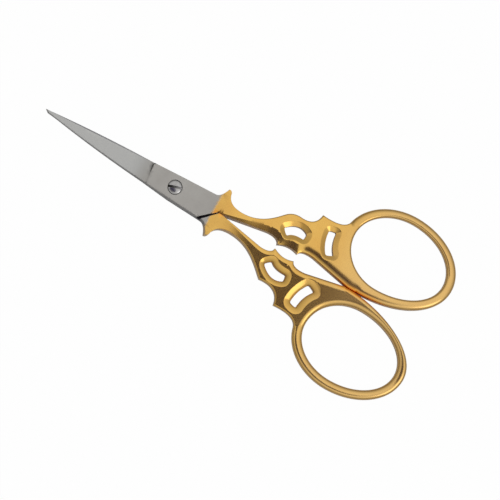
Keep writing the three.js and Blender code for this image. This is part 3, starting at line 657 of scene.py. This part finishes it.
def blade(name, lean, seated):
    """An upper blade, ground ahead of the pivot to a tip that leans to one side, with or without the
    screw head's seat."""
    tip_y = TIP_WIDTH / 2
    tip = np.array([-BLADE_LENGTH, lean, UPPER_FLAT + TIP_THICKNESS])
    low = np.array([-GRIND_START, BLADE_REACH, THICKNESS - GRIND_STEP])
    back = np.array([-GRIND_START, -BLADE_REACH, THICKNESS])
    normal = np.cross(tip - low, back - low)
    taper = BLADE_REACH - lean - tip_y
    cut = np.array([BLADE_LENGTH, taper]) / math.hypot(BLADE_LENGTH, taper)
    ahead = lambda xy: -GRIND_START - GRIND_SLANT * xy[:, 1] - xy[:, 0]
    from_edge = lambda xy: xy[:, 0] * cut[1] - (xy[:, 1] - BLADE_REACH) * cut[0]

    def top(xy):
        ground = low[2] - ((xy - low[:2]) * normal[:2]).sum(1) / normal[2]
        share = smooth_step(ahead(xy), 0, GRIND_RAMP)
        height = THICKNESS + (ground - THICKNESS) * share
        bevel = UPPER_FLAT + EDGE_THICKNESS + np.maximum(from_edge(xy), 0) * EDGE_SLOPE
        height = np.where(ahead(xy) > 0, np.minimum(height, bevel), height)
        if seated:
            height = np.where(np.hypot(*xy.T) < SEAT_RADIUS, np.minimum(height, SEAT_Z), height)
        return height

    def bottom(xy):
        width = np.maximum(from_edge(xy) + xy[:, 1] - back_y(xy[:, 0], lean), LEAST_WIDTH)
        across = np.clip(from_edge(xy) / width, 0, 1)
        hollow = HOLLOW * across * (1 - across) * 4 * smooth_step(-xy[:, 0], *HOLLOW_GROWS)
        return np.where(lapped(xy), UPPER_FLAT + hollow, 0.0)

    def painted_shade_at(xy):
        """Painted shade: dark in the deep half of the grinding's step, with a lighter shaded haze ahead of
        it.
        """
        from_step = smooth_step(ahead(xy), *GRIND_SHADE_STARTS)
        deep = smooth_step(xy[:, 1], *STROKE_DEEPENS)
        stroke = STROKE_SHADE * deep * (from_step * smooth_step(ahead(xy), *STROKE_FADES))
        haze = from_step * smooth_step(ahead(xy), *HAZE_FADES)
        return stroke + HAZE_SHADE * haze * (1 - stroke)

    def grind_line(on):
        x, slant = -GRIND_START - on, GRIND_SLANT * GRIND_HALF
        return line((x + slant, -GRIND_HALF), (x - slant, GRIND_HALF))

    bevel_x = -GRIND_START - BEVEL_START
    bevel_root = (THICKNESS - GRIND_STEP - UPPER_FLAT) / EDGE_SLOPE
    bevel_tip = TIP_THICKNESS / EDGE_SLOPE
    bevel_line = line((bevel_x, BLADE_REACH + cut[1] / cut[0] * bevel_x - bevel_root),
                      (-BLADE_LENGTH, lean + tip_y - bevel_tip))
    creases = [grind_line(0.0), grind_line(GRIND_RAMP / 3), grind_line(GRIND_RAMP * 2 / 3),
               grind_line(GRIND_RAMP), bevel_line, *shoulder_creases()]
    if seated:
        creases += [closed_circle(SEAT_RADIUS + side * HALF_STEP) for side in (-1, 1)]
    tip_x = (-BLADE_LENGTH, TIP_SLANT - BLADE_LENGTH)
    plan = blade_outline(lean, *(tip_x if seated else tip_x[::-1]))
    outline = beside_plating([(edge(BLADE_EDGE), plan)], -1)
    bore = [(edge(BORE_EDGE), circle(BORE_RADIUS))]
    return relief(name, outline, [bore], top, bottom, SMALL_UNDER, constant(1), creases, BLADE_GRID, painted_shade_at)


def screw(name):
    across = np.array([-math.sin(SLOT_ANGLE), math.cos(SLOT_ANGLE)])
    along = np.array([across[1], -across[0]])
    in_slot = lambda xy: np.abs(xy @ across) < SLOT_WIDTH / 2

    def top(xy):
        share = np.clip(np.hypot(*xy.T) / HEAD_RADIUS, 0, 1)
        dome = SEAT_Z + HEAD_RIM + (HEAD_HEIGHT - HEAD_RIM) * np.sqrt(1 - share ** 2)
        return np.where(in_slot(xy), np.minimum(dome, SEAT_Z + HEAD_HEIGHT - SLOT_DEPTH), dome)

    def painted_shade_at(xy):
        """Painted shade: dark in the slot, most at its end on -X, and round the rim."""
        slot = in_slot(xy) * (SLOT_SHADE - SLOT_SHADE_FALL * xy @ along)
        return np.maximum(slot, RIM_SHADE * smooth_step(np.hypot(*xy.T), *RIM_SHADE_GROWS))

    bottom = lambda xy: np.where(np.hypot(*xy.T) < SHANK_RADIUS, 0.0, SEAT_Z)
    slot_line = lambda offset: line(across * offset - along * SLOT_HALF, across * offset + along * SLOT_HALF)
    creases = [slot_line(side * (SLOT_WIDTH / 2 + gap)) for side in (-1, 1)
               for gap in (-SLOT_HALF_STEP, SLOT_HALF_STEP)]
    creases += [closed_circle(SHANK_RADIUS + side * HALF_STEP) for side in (-1, 1)]
    return relief(name, [(edge(HEAD_EDGE), circle(HEAD_RADIUS))], [], top, bottom, SMALL_UNDER, constant(1),
                  creases, HEAD_GRID, painted_shade_at)


# Materials. Ramps have a darker and a lighter tone.

GOLD, GOLD_TONES = (0.74, 0.425, 0.08), ((0.71, 0.39, 0.07), (0.77, 0.46, 0.09))
STEEL, STEEL_TONES = (0.465, 0.445, 0.405), ((0.43, 0.41, 0.375), (0.5, 0.485, 0.445))
SCREW_TONES = ((0.36, 0.35, 0.34), (0.5, 0.49, 0.48))
TONE_STOPS = (0.3, 0.7)
# The second colour is a painted warm reflection of light bounced between the gold edges along the gap.
WORN_GOLD, BOUNCE_LIT_GOLD = (0.75, 0.48, 0.18), (0.86, 0.36, 0.03)
# The second colour is painted shade on the steel's side walls.
GROUND_STEEL, SHADED_STEEL_WALL = (0.52, 0.525, 0.51), (0.35, 0.343, 0.33)
# Painted shade on the gold, the blades and the screw.
GOLD_SHADE, STEEL_SHADE, SCREW_SHADE = (0.03, 0.012, 0.006), (0.012, 0.01, 0.015), (0.012, 0.011, 0.01)
# Along X, in metres: where the bows grow worn, how soon the ground face changes its tone, and how uneven
# and soft the plating's edge is. The edge's shift is in millimetres.
WEAR_SPAN, WEAR_SHARE, WEAR_ROUGHNESS = (0.017, 0.027), 0.55, 0.1
GROUND_SPAN, GROUND_SHARE = 0.003, 0.8
PLATING_UNEVEN, PLATING_SOFT = 0.0007, 0.0003
PLATING_SHIFT = 0.35
# The upright share of the normal as steel turns from its face's tone to the painted shade on a wall
SHADED_WALL_SPAN = (0.75, 0.3)
# The grain is noise stretched along one axis, in turns per metre. The peel is a fine waviness.
GOLD_GRAIN, STEEL_GRAIN = (900, 4200, 4200), (9000, 350, 350)
GOLD_GRAIN_BUMP, GOLD_PEEL_BUMP, STEEL_GRAIN_BUMP = 0.006, 0.03, 0.06
GOLD_ROUGHNESS, STEEL_ROUGHNESS, SCREW_ROUGHNESS = (0.14, 0.2), (0.26, 0.4), (0.14, 0.26)
BUMP_DISTANCE = 0.0001


def adder(tree):
    """A function that adds a node to a tree, with its inputs linked or set."""
    def add(kind, inputs=None, **settings):
        node = tree.nodes.new(kind)
        for key, value in settings.items():
            setattr(node, key, value)
        for key, value in (inputs or {}).items():
            if isinstance(value, bpy.types.NodeSocket):
                tree.links.new(value, node.inputs[key])
            else:
                node.inputs[key].default_value = value
        return node
    return add


def node_material(name):
    """A material, its shader, a function that adds nodes, and one that feeds the shader."""
    material = bpy.data.materials.new(name)
    material.use_nodes = True
    tree = material.node_tree
    shader = tree.nodes["Principled BSDF"]

    def feed(key, socket):
        tree.links.new(socket, shader.inputs[key])

    return material, shader, adder(tree), feed


def noise(add, scale, detail, stretch=(1, 1, 1)):
    place = add("ShaderNodeTexCoord").outputs["Object"]
    vector = add("ShaderNodeMapping", {"Vector": place, "Scale": stretch}).outputs["Vector"]
    return add("ShaderNodeTexNoise", {"Vector": vector, "Scale": scale, "Detail": detail}).outputs["Fac"]


def along_x(add):
    place = add("ShaderNodeTexCoord").outputs["Object"]
    return add("ShaderNodeSeparateXYZ", {"Vector": place}).outputs["X"]


# Reads a share of painted shade or painted reflection from the mesh.
def painted_light_share(add, kind):
    return add("ShaderNodeAttribute", attribute_name=kind).outputs["Fac"]


def spread(add, value, start, end, low=0.0, high=1.0):
    """A value from start to end, spread from low to high."""
    return add("ShaderNodeMapRange", {
        "Value": value, "From Min": start, "From Max": end, "To Min": low, "To Max": high}).outputs["Result"]


def tones(add, factor, colours):
    node = add("ShaderNodeValToRGB", {"Fac": factor})
    for element, position, colour in zip(node.color_ramp.elements, TONE_STOPS, colours):
        element.position = position
        element.color = (*colour, 1)
    return node.outputs["Color"]


def mixed(add, factor, a, b):
    """Two colours mixed. Sockets 6 and 7 are a Mix node's colours, and output 2 its colour."""
    a, b = ((*colour, 1) if isinstance(colour, tuple) else colour for colour in (a, b))
    return add("ShaderNodeMix", {0: factor, 6: a, 7: b}, data_type="RGBA").outputs[2]


def times_plus(add, a, factor, b):
    return add("ShaderNodeMath", {0: a, 1: factor, 2: b}, operation="MULTIPLY_ADD").outputs[0]


def bumped(add, height, strength, normal=None):
    inputs = {"Height": height, "Strength": strength, "Distance": BUMP_DISTANCE}
    if normal:
        inputs["Normal"] = normal
    return add("ShaderNodeBump", inputs).outputs["Normal"]


def plated(add):
    """1 on the plated side of the plating line and 0 on the other, with an uneven edge."""
    uneven = times_plus(add, noise(add, scale=1600, detail=3), PLATING_UNEVEN, along_x(add))
    start = (PLATING_X + PIVOT_X + PLATING_SHIFT) * MM
    return spread(add, uneven, start - PLATING_SOFT, start + PLATING_SOFT)


def gold_material():
    material, shader, add, feed = node_material("gold_plating")
    worn = spread(add, along_x(add), *WEAR_SPAN, 0.0, WEAR_SHARE)
    tone = tones(add, noise(add, scale=260, detail=4), GOLD_TONES)
    tone = mixed(add, worn, tone, WORN_GOLD)
    # Painted warm reflection along the gap.
    tone = mixed(add, painted_light_share(add, "painted_bounce_light"), tone, BOUNCE_LIT_GOLD)
    tone = mixed(add, plated(add), STEEL, tone)
    # Painted shade, as much as the mesh's share says.
    feed("Base Color", mixed(add, painted_light_share(add, "painted_shade"), tone, GOLD_SHADE))
    grain = noise(add, scale=1, detail=3, stretch=GOLD_GRAIN)
    feed("Roughness", times_plus(add, worn, WEAR_ROUGHNESS, spread(add, grain, 0, 1, *GOLD_ROUGHNESS)))
    peel = bumped(add, noise(add, scale=700, detail=2), GOLD_PEEL_BUMP)
    feed("Normal", bumped(add, grain, GOLD_GRAIN_BUMP, peel))
    shader.inputs["Metallic"].default_value = 1
    shader.inputs["Coat Weight"].default_value = 0.5
    shader.inputs["Coat Roughness"].default_value = 0.12
    shader.inputs["Coat IOR"].default_value = 1.7
    return material


def steel_material():
    material, shader, add, feed = node_material("ground_steel")
    start = (PIVOT_X - GRIND_START) * MM
    ground = spread(add, along_x(add), start, start - GROUND_SPAN, 0.0, GROUND_SHARE)
    normal = add("ShaderNodeNewGeometry").outputs["Normal"]
    up = add("ShaderNodeSeparateXYZ", {"Vector": normal}).outputs["Z"]
    level = add("ShaderNodeMath", {0: up}, operation="ABSOLUTE").outputs[0]
    tone = tones(add, noise(add, scale=180, detail=5), STEEL_TONES)
    tone = mixed(add, ground, tone, GROUND_STEEL)
    # Painted shade on the side walls, by how upright the normal is.
    tone = mixed(add, spread(add, level, *SHADED_WALL_SPAN), tone, SHADED_STEEL_WALL)
    tone = mixed(add, plated(add), tone, GOLD)
    # Painted shade, as much as the mesh's share says.
    feed("Base Color", mixed(add, painted_light_share(add, "painted_shade"), tone, STEEL_SHADE))
    grain = noise(add, scale=1, detail=4, stretch=STEEL_GRAIN)
    feed("Roughness", spread(add, grain, 0, 1, *STEEL_ROUGHNESS))
    feed("Normal", bumped(add, grain, STEEL_GRAIN_BUMP))
    shader.inputs["Metallic"].default_value = 1
    return material


def screw_material():
    material, shader, add, feed = node_material("screw_steel")
    cloud = noise(add, scale=900, detail=4)
    tone = tones(add, cloud, SCREW_TONES)
    # Painted shade, as much as the mesh's share says.
    feed("Base Color", mixed(add, painted_light_share(add, "painted_shade"), tone, SCREW_SHADE))
    feed("Roughness", spread(add, cloud, 0, 1, *SCREW_ROUGHNESS))
    shader.inputs["Metallic"].default_value = 1
    return material


gold, steel, screw_steel = gold_material(), steel_material(), screw_material()
upper_handle = handle("upper_handle_gold", UPPER_HALF, lap_on_top=False)
lower_handle = handle("lower_handle_gold", LOWER_HALF, lap_on_top=True)
upper_blade = blade("upper_blade_steel", TIP_OFFSET, seated=True)
lower_blade = turn_over(blade("lower_blade_steel", -TIP_OFFSET, seated=False))
pivot_screw = screw("pivot_screw_steel")
for obj, node, body, material, slot in (
        (upper_handle, "upper_handle", "upper_half", gold, "gold"),
        (lower_handle, "lower_handle", "lower_half", gold, "gold"),
        (upper_blade, "upper_blade", "upper_half", steel, "steel"),
        (lower_blade, "lower_blade", "lower_half", steel, "steel"),
        (pivot_screw, "pivot_screw", "lower_half", screw_steel, "screw")):
    obj.data.materials.append(material)
    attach(obj, body)
    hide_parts(node)


# Camera, light and floor

# The camera that was fitted to the photograph's outline: angles in radians, places in millimetres
CAMERA_TILT, CAMERA_TILT_TOWARD, CAMERA_ROLL = 0.191986, 2.530727, 0.518132
CAMERA_SHIFT = (-15.359, -12.473, 605.44)
CAMERA_TARGET = (-14.875, 0, 1.6)
CAMERA_LENS, CAMERA_SENSOR, CAMERA_CLIP = 216, 36, (0.05, 20)

# In metres and watts. The floor has a share of plain white in the camera, and a smaller one in the metal.
FLOOR_HALF, FLOOR_COLOUR, FLOOR_ROUGHNESS = 1.5, (0.6, 0.6, 0.6), 0.9
FLOOR_IN_CAMERA, FLOOR_IN_METAL = 0.985, 0.08
SOFTBOX_SIZE, SOFTBOX_POWER, SOFTBOX_PLACE = 0.3, 0.33, (0.53, -0.11, 0.5)

# The world's dark patch is where a direction comes within PATCH_EDGE (cosines) of PATCH_TOWARD. It is
# lighter toward -Y. The world dims toward the horizon and toward -X.
WHITE = (1, 1, 1)
PATCH_TOWARD, PATCH_EDGE = (-0.09, -0.25, 1), (0.914, 0.938)
PATCH_COLOUR, PATCH_LIGHT, PATCH_LIGHTENS = (0.085, 0.075, 0.14), (0.5, 0.5, 0.5), (0.2, 0.45)
HORIZON_LEVEL, HORIZON_SPAN = 0.2, (0.05, 0.85)
LEFT_LEVEL, LEFT_SPAN = 0.75, (-0.7, 0)


def linked(name, data):
    obj = bpy.data.objects.new(name, data)
    bpy.context.scene.collection.objects.link(obj)
    return obj


def camera():
    ex = Vector((math.cos(CAMERA_ROLL), math.sin(CAMERA_ROLL), 0))
    ey = Vector((-math.sin(CAMERA_ROLL), math.cos(CAMERA_ROLL), 0))
    tilt_axis = Vector((-math.sin(CAMERA_TILT_TOWARD), math.cos(CAMERA_TILT_TOWARD), 0))
    to_image = Matrix.Rotation(CAMERA_TILT, 3, tilt_axis) @ Matrix((ex, ey, (0, 0, -1))).transposed()
    flip = Matrix.Diagonal((1, -1, 1))
    place = flip @ -(to_image.transposed() @ Vector(CAMERA_SHIFT)) + Vector(CAMERA_TARGET)
    right, down, forward = (flip @ row for row in to_image)
    data = bpy.data.cameras.new("camera")
    data.lens, data.sensor_width = CAMERA_LENS, CAMERA_SENSOR
    data.clip_start, data.clip_end = CAMERA_CLIP
    obj = linked("camera", data)
    turn = Matrix((right, -down, -forward)).transposed().to_4x4()
    obj.matrix_world = Matrix.Translation(place * MM) @ turn
    bpy.context.scene.camera = obj


def white_floor():
    """A floor that shows as white to the camera, and less so in the metal, under a faint shadow."""
    mesh = bpy.data.meshes.new("floor")
    corners = [(x * FLOOR_HALF, y * FLOOR_HALF, 0) for x, y in ((-1, -1), (1, -1), (1, 1), (-1, 1))]
    mesh.from_pydata(corners, [], [(0, 1, 2, 3)])
    obj = linked("floor", mesh)
    material, shader, add, _ = node_material("floor")
    shader.inputs["Base Color"].default_value = (*FLOOR_COLOUR, 1)
    shader.inputs["Roughness"].default_value = FLOOR_ROUGHNESS
    shader.inputs["Specular IOR Level"].default_value = 0
    mesh.materials.append(material)

    path = add("ShaderNodeLightPath").outputs
    seen = add("ShaderNodeMath", {0: path["Is Camera Ray"], 1: FLOOR_IN_CAMERA}, operation="MULTIPLY")
    share = times_plus(add, path["Is Glossy Ray"], FLOOR_IN_METAL, seen.outputs[0])
    glow = add("ShaderNodeEmission").outputs[0]
    mix = add("ShaderNodeMixShader", {"Fac": share, 1: shader.outputs[0], 2: glow})
    tree = material.node_tree
    tree.links.new(mix.outputs[0], tree.nodes["Material Output"].inputs["Surface"])


def softbox():
    light = bpy.data.lights.new("softbox", "AREA")
    light.size, light.energy = SOFTBOX_SIZE, SOFTBOX_POWER
    place = Vector(SOFTBOX_PLACE)
    turn = place.to_track_quat("Z", "Y").to_matrix().to_4x4()
    linked("softbox", light).matrix_world = Matrix.Translation(place) @ turn


def studio_world():
    """White, with a dark patch above the object, and dimmer toward -X and the horizon."""
    world = bpy.data.worlds.new("studio")
    world.use_nodes = True
    tree = world.node_tree
    add = adder(tree)
    place = add("ShaderNodeTexCoord").outputs["Generated"]

    def toward(direction, low, high):
        """From 0 to 1 as a direction turns toward another."""
        near = add("ShaderNodeVectorMath", {0: place, 1: Vector(direction).normalized()},
                   operation="DOT_PRODUCT").outputs["Value"]
        return add("ShaderNodeMapRange", {"Value": near, "From Min": low, "From Max": high},
                   interpolation_type="SMOOTHSTEP").outputs["Result"]

    patch = mixed(add, toward((0, -1, 0), *PATCH_LIGHTENS), PATCH_COLOUR, PATCH_LIGHT)
    colour = mixed(add, toward(PATCH_TOWARD, *PATCH_EDGE), WHITE, patch)
    split = add("ShaderNodeSeparateXYZ", {0: place}).outputs
    level = spread(add, split["Z"], *HORIZON_SPAN, HORIZON_LEVEL)
    left = spread(add, split["X"], *LEFT_SPAN, LEFT_LEVEL)
    strength = add("ShaderNodeMath", {0: level, 1: left}, operation="MULTIPLY").outputs[0]
    background = tree.nodes["Background"]
    tree.links.new(colour, background.inputs["Color"])
    tree.links.new(strength, background.inputs["Strength"])
    bpy.context.scene.world = world


camera()
white_floor()
softbox()
studio_world()
bpy.context.scene.view_settings.view_transform = "Standard"
